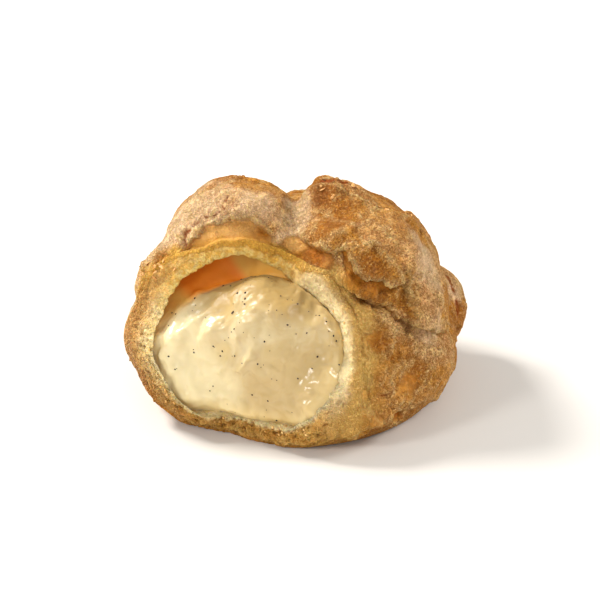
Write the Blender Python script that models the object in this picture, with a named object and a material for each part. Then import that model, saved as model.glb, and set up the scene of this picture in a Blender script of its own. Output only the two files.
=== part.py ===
"""Cream puff: a choux shell, broken open at one side, and the custard that fills it.

Both pieces are UV balls pulled into shape.  One point inside the puff, the heart,
is where every blown-up lobe of the crust swells out from.  Along each direction
from the heart, the crust lies where the farthest lobe ends.
"""

import math

import bpy
import bmesh
import numpy as np

MM = 0.001
COLLECTION = "cream_puff"

# ---------------------------------------------------------------- driving sizes, mm

HEART = (0.0, 3.0, 24.0)
MIDDLE = (0.2, 3.85)     # X and Y of the middle of the puff, moved to the origin

# Lobes of the crust: centre and radii of each swelling.
LOBES = {
    "lower": ((0, 3, 12), (43, 39.5, 21)),
    "lower_left": ((-20.5, -2, 21), (25, 24, 17)),
    "front_right": ((13, -10, 18.5), (19, 18, 20)),
    "cap_right": ((13, 7, 31), (25.5, 26, 22)),
    "cap_left": ((-14, 7, 40), (20.5, 18, 19)),
    "cap_back": ((2, 22, 29), (28, 20, 18.5)),
    "left_shoulder": ((-25, 0, 33), (16.5, 15, 15)),
    "crown": ((11, 6, 44), (12, 13, 15)),
    "bridge": ((2, 0, 38), (12, 12, 13)),
    "roll_top": ((17, -4, 41), (17, 15, 12.5)),
    "roll_side": ((28, -3, 28), (12, 14, 12)),
    "ear": ((34.5, 15, 17.5), (11.5, 11.5, 11.5)),
}
CREASE = 0.9             # 1/mm: how sharply two lobes meet outside
HOLLOW_CREASE = 0.45     # 1/mm: how sharply they meet inside
FLOOR_BEND = 1.5         # 1/mm: how sharply the side turns in to the flat base
SEAT = 0.02              # what is this close to the ground lies flat on it

WALL = 3.2               # thickness of the baked shell, which thins to half under a crease
BASE = 6.5               # thickness of the base under the custard

# The broken side: its axis points out of the opening.  At each hour of a clock
# seen from the front it has an outer and an inner edge, as angles from that axis,
# and the custard stays some way short of the inner edge.
OPENING_TURN = -24.0     # degrees left of straight ahead
OPENING_RISE = 10.0      # degrees above level
OUTER, INNER, SHORT = range(3)
EDGES = {                # hour: (outer degrees, inner degrees, custard short by mm)
    12: (52, 44, 5),
    1: (51, 39, 2),
    2: (53, 43, 1),
    3: (52, 47, 0),
    4: (51, 43, 0),
    5: (51, 44, 0),
    6: (48.5, 40.5, 0),
    7: (54, 45, 0),
    8: (57, 48, 0),
    9: (56, 46, 3),
    10: (51, 44, 10),
    11: (48.5, 45, 12),
}
LIP = 0.8                # how far the broken edge is rounded out between its edges

GAP = 0.35               # custard to shell, along the line from the heart
BULGE = 30.0             # heart to the front of the custard, along the opening's axis
POCKET_END = 110.0       # degrees from that axis to where the custard meets the roof

# Steps round the opening's axis, and rows of faces from pole to pole.
CLOCK_STEPS = 72
CRUST_ROWS = 28          # from the back of the crust to the outer edge
EDGE_ROWS = 4            # across the broken edge
HOLLOW_ROWS = 14         # from the inner edge back to the end of the hollow
FRONT_ROWS = 8           # of the custard, in front of the inner edge


# ---------------------------------------------------------------- directions

def axes_of_opening():
    """Right, up and outward directions of the opening."""
    turn = math.radians(OPENING_TURN)
    rise = math.radians(OPENING_RISE)
    out = np.array((
        math.sin(turn) * math.cos(rise),
        -math.cos(turn) * math.cos(rise),
        math.sin(rise),
    ))
    right = np.cross((0.0, 0.0, 1.0), out)
    right /= np.linalg.norm(right)
    return right, np.cross(out, right), out


def direction(clock, away):
    """Unit vectors at a clock angle round the opening's axis, and at an angle away from it."""
    right, up, out = axes_of_opening()
    across = np.cos(clock)[:, None] * right + np.sin(clock)[:, None] * up
    return np.cos(away)[:, None] * out + np.sin(away)[:, None] * across


def by_the_clock(clock, column):
    """One column of EDGES at each clock angle, smooth between the hours."""
    hour = (3.0 - np.degrees(clock) / 30.0) % 12.0
    before = np.floor(hour).astype(int)
    part = hour - before
    values = np.array([EDGES[h or 12][column] for h in range(12)], float)
    a, b, c, d = (values[(before + step) % 12] for step in (-1, 0, 1, 2))
    twice = (
        2 * b
        + (c - a) * part
        + (2 * a - 5 * b + 4 * c - d) * part ** 2
        + (3 * b - a - 3 * c + d) * part ** 3
    )
    return twice / 2


# ---------------------------------------------------------------- distances from the heart

def smooth_max(distances, bend):
    """The larger of several distances, rounded off where they are equal."""
    largest = np.max(distances, axis=0)
    return largest + np.log(np.sum(np.exp(bend * (distances - largest)), axis=0)) / bend


def smooth_min(distances, bend):
    return -smooth_max(-np.array(distances), bend)


def to_ellipsoid(rays, centre, radii):
    """Distance along each ray to where it leaves an ellipsoid, which may miss the heart."""
    start = (np.array(HEART) - centre) / radii
    step = rays / np.array(radii, float)
    a = np.sum(step * step, axis=1)
    b = np.sum(step * start, axis=1)
    c = np.dot(start, start) - 1
    inside = b * b - a * c
    return (np.sign(inside) * np.sqrt(np.abs(inside)) - b) / a


def to_level(rays, height):
    """Distance along each ray down to a level, or very far for rays that rise."""
    fall = np.maximum(-rays[:, 2], 0.05)
    return (HEART[2] - height) / fall


def to_swellings(rays, swellings, bend):
    """Distance to where the farthest of several swellings ends."""
    return smooth_max(np.array([to_ellipsoid(rays, *one) for one in swellings.values()]), bend)


def to_crust(rays):
    return smooth_min([to_swellings(rays, LOBES, CREASE), to_level(rays, 0)], FLOOR_BEND)


def to_hollow(rays):
    """Distance to the wall of the hollow, which is smoother than the crust outside."""
    wall = to_swellings(rays, LOBES, HOLLOW_CREASE) - WALL
    return smooth_min([wall, to_level(rays, BASE)], FLOOR_BEND)


def to_custard(clock, away, inner):
    """Distance to the custard.

    It fills the hollow behind the inner edge and bulges in front of it.  Where it
    stops short of the edge, it leaves a pocket under the roof that closes behind.
    """
    behind = to_hollow(direction(clock, away))
    at_edge = to_hollow(direction(clock, inner))
    to_middle = 1 - np.clip(away / inner, 0, 1) ** 3
    bulged = at_edge + (BULGE - at_edge) * to_middle
    filled = np.where(away < inner, bulged, behind)

    to_end = np.clip((away - inner) / (math.radians(POCKET_END) - inner), 0, 1)
    open_share = (1 - to_middle) * (1 - to_end ** 2 * (3 - 2 * to_end))
    short = np.maximum(by_the_clock(clock, SHORT), 0)
    return filled - GAP - short * open_share


# ---------------------------------------------------------------- the two balls

def place(rays, distances):
    """Points at the given distances from the heart, in metres about the origin."""
    points = np.array(HEART) + rays * distances[:, None]
    points[:, 2] = np.where(points[:, 2] < SEAT, 0.0, points[:, 2])
    points[:, :2] -= MIDDLE
    return points * MM


def shell_points(clock, row):
    """Points of the shell, by clock angle and row counted from the back pole.

    The first rows are the crust, from its back to the outer edge of the opening.
    Then come the broken edge and the hollow, back from the opening.
    """
    outer = np.radians(by_the_clock(clock, OUTER))
    inner = np.radians(by_the_clock(clock, INNER))

    forward = np.clip(row / CRUST_ROWS, 0, 1)
    crust_rays = direction(clock, math.pi + (outer - math.pi) * forward)
    crust = place(crust_rays, to_crust(crust_rays))

    back = np.clip((row - CRUST_ROWS - EDGE_ROWS) / HOLLOW_ROWS, 0, 1)
    hollow_rays = direction(clock, inner + (math.pi - inner) * back)
    hollow = place(hollow_rays, to_hollow(hollow_rays))

    across = np.clip((row - CRUST_ROWS) / EDGE_ROWS, 0, 1)[:, None]
    out_of_edge = direction(clock, (outer + inner) / 4)
    edge = crust + (hollow - crust) * across
    edge += out_of_edge * np.sin(math.pi * across) * LIP * MM

    return np.where(across <= 0, crust, np.where(across >= 1, hollow, edge))


def custard_points(clock, row):
    """Points of the custard: its back rows follow the hollow's, and the rest are its front."""
    inner = np.radians(by_the_clock(clock, INNER))
    back = np.clip(row / HOLLOW_ROWS, 0, 1)
    front = np.clip((row - HOLLOW_ROWS) / FRONT_ROWS, 0, 1)
    away = (math.pi + (inner - math.pi) * back) * (1 - front)
    return place(direction(clock, away), to_custard(clock, away, inner))


def material(name, colour, roughness):
    made = bpy.data.materials.new(name)
    made.use_nodes = True
    shader = made.node_tree.nodes["Principled BSDF"]
    shader.inputs["Base Color"].default_value = (*colour, 1.0)
    shader.inputs["Roughness"].default_value = roughness
    shader.inputs["Metallic"].default_value = 0.0
    return made


def ball(name, rows, diagonal, points_at, finish):
    """A UV ball whose every point is moved to where points_at puts it.

    The hollow's rows run the other way from the custard's, so the two balls are
    split along opposite diagonals: then facing triangles match, and never cross.
    """
    shape = bmesh.new()
    bmesh.ops.create_uvsphere(shape, u_segments=CLOCK_STEPS, v_segments=rows, radius=1.0)
    bmesh.ops.triangulate(shape, faces=shape.faces, quad_method=diagonal)
    mesh = bpy.data.meshes.new(name)
    shape.to_mesh(mesh)
    shape.free()

    flat = np.empty(3 * len(mesh.vertices))
    mesh.vertices.foreach_get("co", flat)
    x, y, z = flat.reshape(-1, 3).T
    clock = np.arctan2(y, x)
    row = np.round(rows * (1 - np.arccos(np.clip(z, -1, 1)) / math.pi))
    mesh.vertices.foreach_set("co", points_at(clock, row).ravel())
    mesh.shade_smooth()
    mesh.materials.append(finish)
    mesh.update()

    made = bpy.data.objects.new(name, mesh)
    bpy.data.collections[COLLECTION].objects.link(made)
    return made


def main():
    for old in list(bpy.data.objects):
        bpy.data.objects.remove(old, do_unlink=True)
    collection = bpy.data.collections.new(COLLECTION)
    bpy.context.scene.collection.children.link(collection)

    crust = material("baked_crust", (0.40, 0.18, 0.05), 0.75)
    custard = material("custard", (0.69, 0.52, 0.24), 0.35)
    shell_rows = CRUST_ROWS + EDGE_ROWS + HOLLOW_ROWS
    custard_rows = HOLLOW_ROWS + FRONT_ROWS
    ball("choux_shell", shell_rows, "FIXED", shell_points, crust)
    ball("custard_filling", custard_rows, "ALTERNATE", custard_points, custard)


main()
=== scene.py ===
# %% [markdown]
# # A cream puff, broken open
#
# A cream puff is choux paste that steam has blown up in the oven.  The paste swells in
# lobes, sets, browns and cracks, and leaves a hollow inside that is filled with custard.
# This lesson loads the measured solids and then dresses them: a shell with a crackled
# crust and a torn edge, a soft heap of custard, and the vanilla seeds in it.

# %% The fixed frame
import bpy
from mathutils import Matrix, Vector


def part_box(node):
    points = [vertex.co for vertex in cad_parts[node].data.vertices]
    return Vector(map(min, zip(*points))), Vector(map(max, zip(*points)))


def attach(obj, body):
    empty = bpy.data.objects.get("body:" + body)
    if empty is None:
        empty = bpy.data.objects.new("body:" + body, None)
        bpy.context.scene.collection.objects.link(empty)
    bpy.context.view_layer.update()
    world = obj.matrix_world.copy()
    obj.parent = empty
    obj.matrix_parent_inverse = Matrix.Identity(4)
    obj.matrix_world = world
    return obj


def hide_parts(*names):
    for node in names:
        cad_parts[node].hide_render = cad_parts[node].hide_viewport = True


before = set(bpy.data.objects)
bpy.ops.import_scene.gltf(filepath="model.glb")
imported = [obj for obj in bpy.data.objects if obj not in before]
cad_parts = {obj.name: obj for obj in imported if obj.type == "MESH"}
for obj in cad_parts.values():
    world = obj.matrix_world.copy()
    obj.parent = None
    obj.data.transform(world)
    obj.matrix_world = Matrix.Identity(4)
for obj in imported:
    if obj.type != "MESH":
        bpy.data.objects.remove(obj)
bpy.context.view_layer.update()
print("nodes:", sorted(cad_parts))

# %% What the lesson uses
import math

import bpy
import bmesh
import numpy as np
from mathutils import Matrix, Vector, noise

MM = 0.001
SHELL_BOX = np.array(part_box("choux_shell")) / MM
print("shell box in mm:", SHELL_BOX.round(1).tolist())

# %% [markdown]
# ## The form under the crust
#
# The puff is a pile of blown-up lobes, and all of them swell out from one spot inside,
# here called the heart.  So the crust is written as a distance: along each direction from
# the heart, it lies where the farthest lobe ends.  A smooth maximum rounds the creases
# between lobes, as a skin of paste does.

# %% Lobes, in millimetres about the middle of the base
HEART = np.array((-0.2, -0.85, 24))
LOBES = [
    ((-0.2, -0.85, 12), (43, 39.5, 21)),  # the broad lower half
    ((-20.7, -5.85, 21), (25, 24, 17)),  # lower left
    ((12.8, -13.85, 18.5), (19, 18, 20)),  # front, right of the opening
    ((12.8, 3.15, 31), (25.5, 26, 22)),  # right half of the cap
    ((-14.2, 3.15, 40), (20.5, 18, 19)),  # left half of the cap
    ((1.8, 18.15, 29), (28, 20, 18.5)),  # back of the cap
    ((-25.2, -3.85, 33), (16.5, 15, 15)),  # left shoulder
    ((10.8, 2.15, 44), (12, 13, 15)),  # crown
    ((1.8, -3.85, 38), (12, 12, 13)),  # bridge between the halves
    ((16.8, -7.85, 41), (17, 15, 12.5)),  # roll above the crack
    ((27.8, -6.85, 28), (12, 14, 12)),  # roll at the side
    ((34.3, 11.15, 17.5), (11.5, 11.5, 11.5)),  # ear at the right
]
CREASE = 0.9
HOLLOW_CREASE = 0.45
FLOOR_BEND = 1.5
WALL = 3.2
BASE = 6.5


def smooth_max(distances, bend):
    """The larger of several distances, rounded off where they are equal."""
    largest = np.max(distances, axis=0)
    return largest + np.log(np.sum(np.exp(bend * (distances - largest)), axis=0)) / bend


def to_lobe(rays, centre, radii):
    """Distance along each ray to where it leaves one lobe."""
    start = (HEART - centre) / radii
    step = rays / np.array(radii, float)
    a = np.sum(step * step, axis=1)
    b = np.sum(step * start, axis=1)
    inside = b * b - a * (np.dot(start, start) - 1)
    return (np.sign(inside) * np.sqrt(np.abs(inside)) - b) / a


def to_level(rays, height):
    return (HEART[2] - height) / np.maximum(-rays[:, 2], 0.05)


def to_form(rays, lobes, crease, wall, level):
    """Distance along each ray to a skin that lies a wall inside some lobes, cut at a level."""
    skin = smooth_max(np.array([to_lobe(rays, *lobe) for lobe in lobes]), crease)
    return -smooth_max(-np.array([skin - wall, to_level(rays, level)]), FLOOR_BEND)


def to_crust(rays):
    return to_form(rays, LOBES, CREASE, 0, 0)


def to_hollow(rays):
    """The hollow leaves out the ear, whose sides are too steep to have a wall."""
    return to_form(rays, LOBES[:-1], HOLLOW_CREASE, WALL, BASE)


print("crust straight up from the heart:", to_crust(np.array([(0, 0, 1)])).round(1), "mm")

# %% [markdown]
# ## The torn opening
#
# The front was torn off by hand.  The tear is easiest to describe as a clock seen from
# the front: at each hour it has an outer edge, where the crust ends, and an inner edge,
# where the hollow starts.  Both are angles away from the axis that points out of the
# opening.  The custard stops a little short of the inner edge, most of all at eleven
# o'clock, where a dark pocket stays under the roof.

# %% Edges of the opening
OPENING_TURN = math.radians(-24)
OPENING_RISE = math.radians(10)
# Each row below starts at twelve o'clock and ends at eleven.
OUTER = (52, 51, 53, 52, 51, 51, 48.5, 54, 57, 56, 51, 48.5)  # degrees from the axis
INNER = (44, 39, 43, 47, 43, 44, 40.5, 45, 48, 46, 44, 45)
SHORT = (5, 2, 1, 0, 0, 0, 0, 0, 0, 3, 10, 12)  # of the custard, in millimetres
OUT = np.array((
    math.sin(OPENING_TURN) * math.cos(OPENING_RISE),
    -math.cos(OPENING_TURN) * math.cos(OPENING_RISE),
    math.sin(OPENING_RISE),
))
RIGHT = np.cross((0, 0, 1), OUT)
RIGHT /= np.linalg.norm(RIGHT)
UP = np.cross(OUT, RIGHT)


def direction(clock, away):
    """Unit vectors at a clock angle round the opening's axis, and at an angle away from it."""
    across = np.cos(clock)[:, None] * RIGHT + np.sin(clock)[:, None] * UP
    return np.cos(away)[:, None] * OUT + np.sin(away)[:, None] * across


def hour_of(clock):
    """The hour at an angle, which starts at three and runs the other way round."""
    return (3 - np.degrees(clock) / 30) % 12


def by_the_clock(clock, values):
    """Values given at twelve, one, two and so on, smooth between them, at any clock angle."""
    hour = hour_of(clock)
    before = np.floor(hour).astype(int)
    part = hour - before
    values = np.array(values, float)
    a, b, c, d = (values[(before + step) % 12] for step in (-1, 0, 1, 2))
    twice = 2 * b + (c - a) * part
    twice += (2 * a - 5 * b + 4 * c - d) * part ** 2 + (3 * b - a - 3 * c + d) * part ** 3
    return twice / 2


def fade(value, zero_at, one_at):
    """A smooth step from 0 to 1 between two values, either way round."""
    part = np.clip((value - zero_at) / (one_at - zero_at), 0, 1)
    return part * part * (3 - 2 * part)


def hours(clock, centre, reach):
    """How much a clock angle belongs to some hours: 1 at the centre, 0 past the reach."""
    gap = np.abs((hour_of(clock) - centre + 6) % 12 - 6)
    return fade(gap, reach, 0.55 * reach)


print("the opening looks", OUT.round(2).tolist())

# %% [markdown]
# ## A ball pushed in
#
# A torn shell is one closed surface: out over the crust, round the torn edge, and back
# along the hollow.  That is what a ball becomes when its front is pushed in, so the shell
# starts as a UV ball from `bmesh.ops.create_uvsphere` whose poles lie on the opening's
# axis.  Its rows are shared out: crust, torn edge, hollow.  Moving its points keeps the
# mesh closed and its faces outwards, which cutting a hole would not.

# %% Balls whose points are moved
def mesh_of(shape, name):
    """A mesh from a bmesh, which is then let go."""
    mesh = bpy.data.meshes.new(name)
    shape.to_mesh(mesh)
    shape.free()
    return mesh


def read(items, what):
    """A vector of each item of a mesh, such as its place."""
    flat = np.empty(3 * len(items))
    items.foreach_get(what, flat)
    return flat.reshape(-1, 3)


def ball(name, steps, rows):
    """A UV ball, with the clock angle and the row of each of its points."""
    shape = bmesh.new()
    bmesh.ops.create_uvsphere(shape, u_segments=steps, v_segments=rows, radius=1)
    mesh = mesh_of(shape, name)
    x, y, z = read(mesh.vertices, "co").T
    clock = np.arctan2(y, x)
    row = np.round(rows * (1 - np.arccos(np.clip(z, -1, 1)) / math.pi))
    return mesh, clock, row


def move_points(mesh, points):
    """Put a mesh's points at places given in millimetres."""
    mesh.vertices.foreach_set("co", (points * MM).ravel())
    mesh.update()


def normals_of(mesh):
    return read(mesh.vertex_normals, "vector")


def keep_masks(mesh, masks):
    """Keep masks on a mesh as attributes, for its finish to read."""
    for name, values in masks.items():
        mesh.attributes.new(name, "FLOAT", "POINT").data.foreach_set("value", values)


def add_object(name, data):
    added = bpy.data.objects.new(name, data)
    bpy.context.scene.collection.objects.link(added)
    return added


def add_piece(name, mesh, finish):
    """Make a finished mesh a piece of the puff."""
    mesh.shade_smooth()
    mesh.materials.append(finish)
    piece = add_object(name, mesh)
    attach(piece, "root")
    mesh.calc_loop_triangles()
    print(name, len(mesh.loop_triangles), "triangles")
    return piece


# %% [markdown]
# ## Drawn relief and relief by noise
#
# Choux crust has two kinds of relief.  Some is particular: the long crack where the cap
# lifted, the fold over the opening, pits where a bubble burst.  Those are drawn as a few
# points each, and pushed in or out by how far a point of the mesh is from them.  The rest
# is a matter of chance, and comes from noise at several sizes.

# %% Distances to paths and spots
def gap_to(points, spot):
    return np.linalg.norm(points - np.array(spot, float), axis=1)


def bell(value, width):
    """1 where the value is 0, falling off smoothly over a width."""
    return np.exp(-((value / width) ** 2))


def near_path(points, normals, path):
    """Distance to a path, and how far to its left a point is, seen from outside."""
    path = np.array(path, float)
    best = np.full(len(points), np.inf)
    left = np.zeros(len(points))
    for start, end in zip(path, path[1:]):
        run = end - start
        along = np.clip(((points - start) @ run) / (run @ run), 0, 1)
        offset = points - (start + along[:, None] * run)
        gap = np.linalg.norm(offset, axis=1)
        side = np.cross(normals, run / np.linalg.norm(run))
        nearer = gap < best
        best = np.where(nearer, gap, best)
        left = np.where(nearer, np.sum(offset * side, axis=1), left)
    return best, left


def grain(points, size, octaves=4, roughness=0.8, shift=0):
    """Fractal noise, about -1 to 1, with lumps of a size in millimetres."""
    return np.array([
        noise.fractal(Vector(p) / size + Vector((shift, shift, shift)), roughness, 2.1, octaves)
        for p in points
    ])


def push(points, size, octaves, shift):
    """Noise in three directions, to bend a line or a border with."""
    return np.stack([grain(points, size, octaves, shift=shift + axis) for axis in range(3)], axis=1)


def ridges(points, size, octaves=3, shift=0):
    """Sharp-crested noise, 0 in the hollows and about 1 to 2 on the crests."""
    return np.array([
        noise.ridged_multi_fractal(
            Vector(p) / size + Vector((shift, 0, -shift)), 0.9, 2.1, octaves, 1, 2)
        for p in points
    ])


def plates_of(points, size, shift=0):
    """Cells like the plates of a cracked skin: distance to the border, and a level for each."""
    borders = []
    levels = []
    for p in points:
        near, centres = noise.voronoi(Vector(p) / size + Vector((shift, shift, 0)))
        borders.append(near[1] - near[0])
        levels.append(noise.cell(centres[0] * 7.3))
    return np.array(borders), np.array(levels)


# %% Where the crust cracked, folded and blistered (millimetres)
MAIN_CRACK = [(3.5, -17, 44.5), (5.5, -19, 44), (7.5, -21, 43), (9.5, -22, 41.5), (11.5, -22, 40),
              (13.5, -22.5, 39), (15.5, -22.5, 38), (17.5, -22.5, 36.5), (19.5, -22.5, 35),
              (21.5, -22, 34.5), (23.5, -21.5, 33), (25.5, -22, 30.5), (27.5, -22, 28.5),
              (29.5, -21, 27.5), (31.5, -20, 27)]
CRACK_END = [(31.5, -20, 27), (33.5, -18.5, 24.5), (36, -15.5, 22), (38.5, -11, 20.5), (42, -6, 19.5)]
LEFT_FOLD = [(-36, -9, 38), (-31, -12, 42), (-29, -11, 46), (-26, -9, 49), (-23, -9, 52), (-20, -9, 53),
             (-16, -9, 54), (-13, -9, 54), (-10, -9, 54), (-7, -10, 51), (-6, -11, 49)]
OVERHANGS = [  # (path, step up to its left, drop of its edge, reach, smooth band under it)
    (MAIN_CRACK, 1.6, 1, 2.4, 0),
    (CRACK_END, 0.9, 0.4, 2, 0),
    (LEFT_FOLD, 1.5, 0.8, 3, 6.5),
    ([(2, -11, 48.5), (4, -14, 48), (8, -17, 48)], 2, 0.8, 4, 4.2),
    ([(8, -17, 48), (10, -19, 48), (13, -19, 49)], 1.4, 0.6, 4, 0),
    ([(14, -21, 46.5), (14.5, -22, 44.5), (16, -22.5, 43), (19, -22, 41.5), (23, -22, 40), (26, -20, 39.5)],
     1.6, 0.8, 3, 2),
    ([(27, -19, 42), (28, -18, 38), (29, -19, 34), (29, -21, 29)], 1.5, 0, 4, 0),
    ([(12, -38, 5), (14, -37, 7), (16, -37, 8), (19, -35, 8), (23, -32, 5)], 1.3, 0.4, 2, 0),
    ([(19, -36, 9), (18, -37, 12), (15, -38, 14), (12, -38, 15)], 1.1, 0, 3, 0),
    ([(40, 6, 47), (33, 2, 46.5), (29, 2, 50.5), (24, 0, 54), (18, 3, 57.5), (10, 3, 59)],
     1.3, 0, 2.4, 0),
]
RAISED = [  # (path, height, width)
    ([(5, -5, 55.5), (6, -1, 57), (8, 0, 58), (11, -1, 58), (14, -3, 57), (16, -3, 56), (19, -4, 54),
      (21, -9, 53)], 1.1, 1),
    ([(13, -19, 49), (16, -19, 50), (19, -18, 50), (22, -19, 48), (25, -21, 44), (27, -20, 40)], 1.1, 0.9),
    ([(17, -10, 53), (20, -12, 53), (24, -15, 51), (26, -17, 48), (29, -17, 43), (31, -16, 39)], 0.8, 1.1),
    ([(7, -19, 44), (9, -20, 45), (11, -20, 47), (13, -20, 47)], 0.8, 0.8),
    ([(14, -24, 36), (19, -25, 33), (24, -25, 29), (31, -22, 22), (36, -19, 18)], 1, 1.6),
    ([(16, -36, 21), (19, -34, 21), (22, -33, 19), (25, -31, 21)], 0.9, 0.7),
    ([(26, -31, 9), (30, -28, 8), (34, -25, 10), (38, -20, 13)], 0.8, 0.7),
    ([(30, -25, 24), (34, -22, 21), (38, -18, 18), (42, -11, 16)], 0.8, 0.7),
    ([(16, -28, 30), (20, -27, 29), (24, -26, 27), (23, -28, 24), (20, -31, 23), (17, -31, 25),
      (16, -28, 30)], 1.1, 0.8),
    ([(24, -30, 20), (27, -27, 20), (31, -24, 20), (34, -23, 16), (32, -27, 12), (28, -30, 10),
      (24, -34, 12), (23, -33, 17), (24, -30, 20)], 1.1, 0.8),
    ([(36, -16, 32), (38, -12, 25), (40, -9, 18)], 0.7, 1.2),
    ([(-40, -3, 40), (-38, -10, 40), (-37, -11, 38), (-38, -12, 36)], 0.9, 0.8),
    ([(-35, -5, 45), (-36, -8, 43), (-35, -11, 42), (-34, -12, 41)], 0.8, 0.7),
    ([(40, 8, 27), (42, 9, 25), (44, 8, 22), (45, 8, 18)], 0.6, 1.2),
]
DENTS = [  # (centre, radius, depth) of the plates' sunken middles
    ((20, -20.5, 44.5), 3.6, 1), ((27, -15.5, 47), 2.6, 0.5), ((11, -20.5, 44), 3, 0.9),
    ((27, -20, 33), 2.6, 0.9), ((9, -22, 40.5), 2.4, 0.5), ((20, -29, 26.5), 3, 0.5),
    ((28.5, -29, 15.5), 4.6, 0.6), ((21, -35, 15), 3, 0.7), ((33, -10, 43), 5, 0.5),
    ((38, -14, 14), 4, 0.6),
]
CRUMPLED = [  # (centre, radius) where the skin is crumpled into small folds
    ((27, -24, 14), 17), ((16, -31, 22), 9), ((40, -8, 10), 13), ((-36, -9, 40), 7.5),
    ((13, 2, 58), 5), ((43, 5, 21), 6), ((5, 36, 14), 15), ((-32, 20, 14), 14),
]
GROOVES = [  # (path, depth, width, how dark): the darkness is painted shade in the groove
    (MAIN_CRACK, 1.4, 1.1, 0.45),
    (CRACK_END, 0.9, 0.8, 0.3),
    ([(-16, -3, 58), (-18, -7, 55.5), (-23, -7, 53.5), (-27, -7, 50), (-28, -10, 47)], 0.7, 0.6, 0.7),
    ([(16, -22, 42), (20, -22, 39), (25, -21, 36)], 0.6, 0.7, 0.4),
    ([(8, 1, 59), (12, 1, 59), (16, 2, 58), (20, 1, 56)], 1.3, 1.2, 0.9),
    ([(41, 8, 27), (41, 7, 25), (42, 5, 22), (43, 4, 19), (43, 3, 17)], 1.4, 0.9, 1),
    ([(20, -35, 15), (22, -35, 14), (24, -33, 16)], 0.8, 0.7, 0.6),
    ([(20, -31, 25), (24, -29, 23), (27, -27, 23)], 0.7, 0.6, 0.5),
    ([(34, -18, 24), (35, -18, 20), (35, -21, 17)], 0.8, 0.6, 0.6),
    ([(38, -12, 21), (39, -15, 17)], 0.9, 0.6, 0.6),
    ([(41, -8, 20), (41.5, -9, 15)], 0.9, 0.6, 0.6),
    ([(43, -3, 19), (43, -4, 14)], 0.9, 0.6, 0.6),
    ([(0, 4, 54), (-1, -3, 53.5), (-2, -6, 52)], 0.7, 1.6, 0),
]
PITS = [  # (centre, radius, depth, how dark): the darkness is painted shade in the pit
    ((-33.5, -10.5, 43.5), 2.7, 1.8, 0), ((-37.5, -10.5, 38.5), 2, 1.2, 0),
    ((-41.5, -8.5, 30.5), 1.8, 1.4, 0.2), ((24, -2, 52.5), 1.3, 1.3, 0.7),
    ((28, 1, 49.5), 1.5, 1.3, 0.7), ((33, 0.5, 44.5), 1.6, 1.3, 0.7),
    ((24.5, -32, 7.5), 1.8, 1.9, 0.6),
]
SMOOTH = [  # (centre, radius, push in): skin that stretched late and stayed smooth
    ((3.5, -16, 45), 4.6, 1.2), ((13, -22, 41.5), 2, -0.5), ((18, -22.5, 39), 2.2, -0.6),
    ((18.5, -29, 27.5), 3.2, 0.6), ((28.5, -30, 15), 4.6, 0.6), ((16, -36, 17), 2.6, 0.6),
    ((-24, -11, 47), 3.2, 0.8), ((-20, -11, 50), 3.6, 1), ((-15, -11, 51.5), 3.8, 1),
    ((-10, -12.5, 50), 3.4, 0.9), ((18, -37, 9.5), 2.6, -0.3),
]
PLATES = [  # (centre, level, tint from -1 brown to 1 pale) of plates of skin
  # the right half of the cap; the pale tint of (3, -4, 53), in the shaded cleft, is painted light
    ((3, -4, 53), 0, 0.9), ((7, -3, 57), 0.7, -0.9), ((14, -8, 54), 0.6, -0.3),
    ((9, -13, 51), 0.5, -0.6), ((21, -15, 51), -0.5, 0.5), ((20, -10, 53), -0.3, 0.3),
    ((31, -14, 46), 0.5, 0.7), ((20, -22, 45), -1.2, -0.6), ((33, -17, 34), 0.6, 0.8),
    ((27, -19, 35), -0.2, -0.5), ((16, -23, 39), 0.3, -0.4), ((22, -22, 35), 0.2, -0.4),
    ((3, -16, 45), -1, -0.2), ((9, -20, 45), 0.4, 0.8), ((36, -7, 37), 0.3, 0.7),
    ((17, 0, 56), -0.3, 0.4), ((25, 2, 51), 0, -0.1), ((28, -11, 50), 0.1, 0.2),
    ((25, -17, 48), -0.3, 0.4), ((2, -10, 49), 0, 0.6), ((13, -18, 49), 0.2, 0),
  # under the crack
    ((19, -24, 34), 0.4, 0.6), ((24, -24, 30), 0.5, 0.8), ((31, -21, 23), 0.6, 1),
    ((20, -29, 27), -0.4, -0.8), ((27, -26, 22), -0.1, 0), ((29, -28, 17), -0.5, -0.7),
    ((37, -17, 18), 0.4, 0.7), ((37, -21, 13), 0, 0), ((18, -33, 21), 0, 0.1),
    ((16, -36, 18), -0.5, -0.4), ((20, -36, 13), 0.2, 0.3), ((12, -38, 10), 0.1, -0.4),
    ((21, -32, 4), 0, -0.3), ((30, -28, 8), 0, 0.2), ((15, -31, 24), 0.1, 0.3),
    ((14, -27, 31), 0.2, 0.4), ((24, -32, 16), 0.1, 0.1),
  # the left half of the cap
    ((-22, -3, 56), 0, 0.9), ((-12, 0, 59), 0.1, 0.1), ((-6, -5, 55), 0, 0.3),
    ((-30, -3, 50), 0.1, 0.9), ((-25, -9, 50), 0, 0.2), ((-16, -11, 52), -0.3, 0.2),
    ((-32, -5, 47), 0, 0.8), ((-33, -11, 44), -0.6, 0.2), ((-17, -6, 56), 0.2, 0.7),
    ((-39, -9, 39), 0.3, 0.8), ((-36, -9, 43), 0.2, 0.7), ((-2, 1, 55), -0.2, 0.2),
]
BROWNED_AND_SHADED = [  # (centre, radius): skin that browned most, and the dimple under the roll, darkened as painted shade
    ((4, -16.5, 45), 4.2), ((7, -3, 57), 3.2), ((11, -12, 51.5), 3.5),
]
PALE_AND_LIT = [  # (centre, radius): skin that stayed pale, and painted light: patches that lift the shade in the cleft between the halves of the cap and light the left side
    ((-26, -7, 48), 18), ((-10, -5, 54), 7), ((-42, -6, 26), 13), ((34, -12, 41), 7.5),
    ((-0.5, -6, 51), 5.4), ((2, -1, 52.5), 5.5), ((-2, -10.5, 48.5), 4.6), ((44, 6, 24), 5),
    ((33, -18, 25), 5),
]
print(len(GROOVES), "grooves,", len(RAISED), "raised edges and", len(PITS), "pits")
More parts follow.
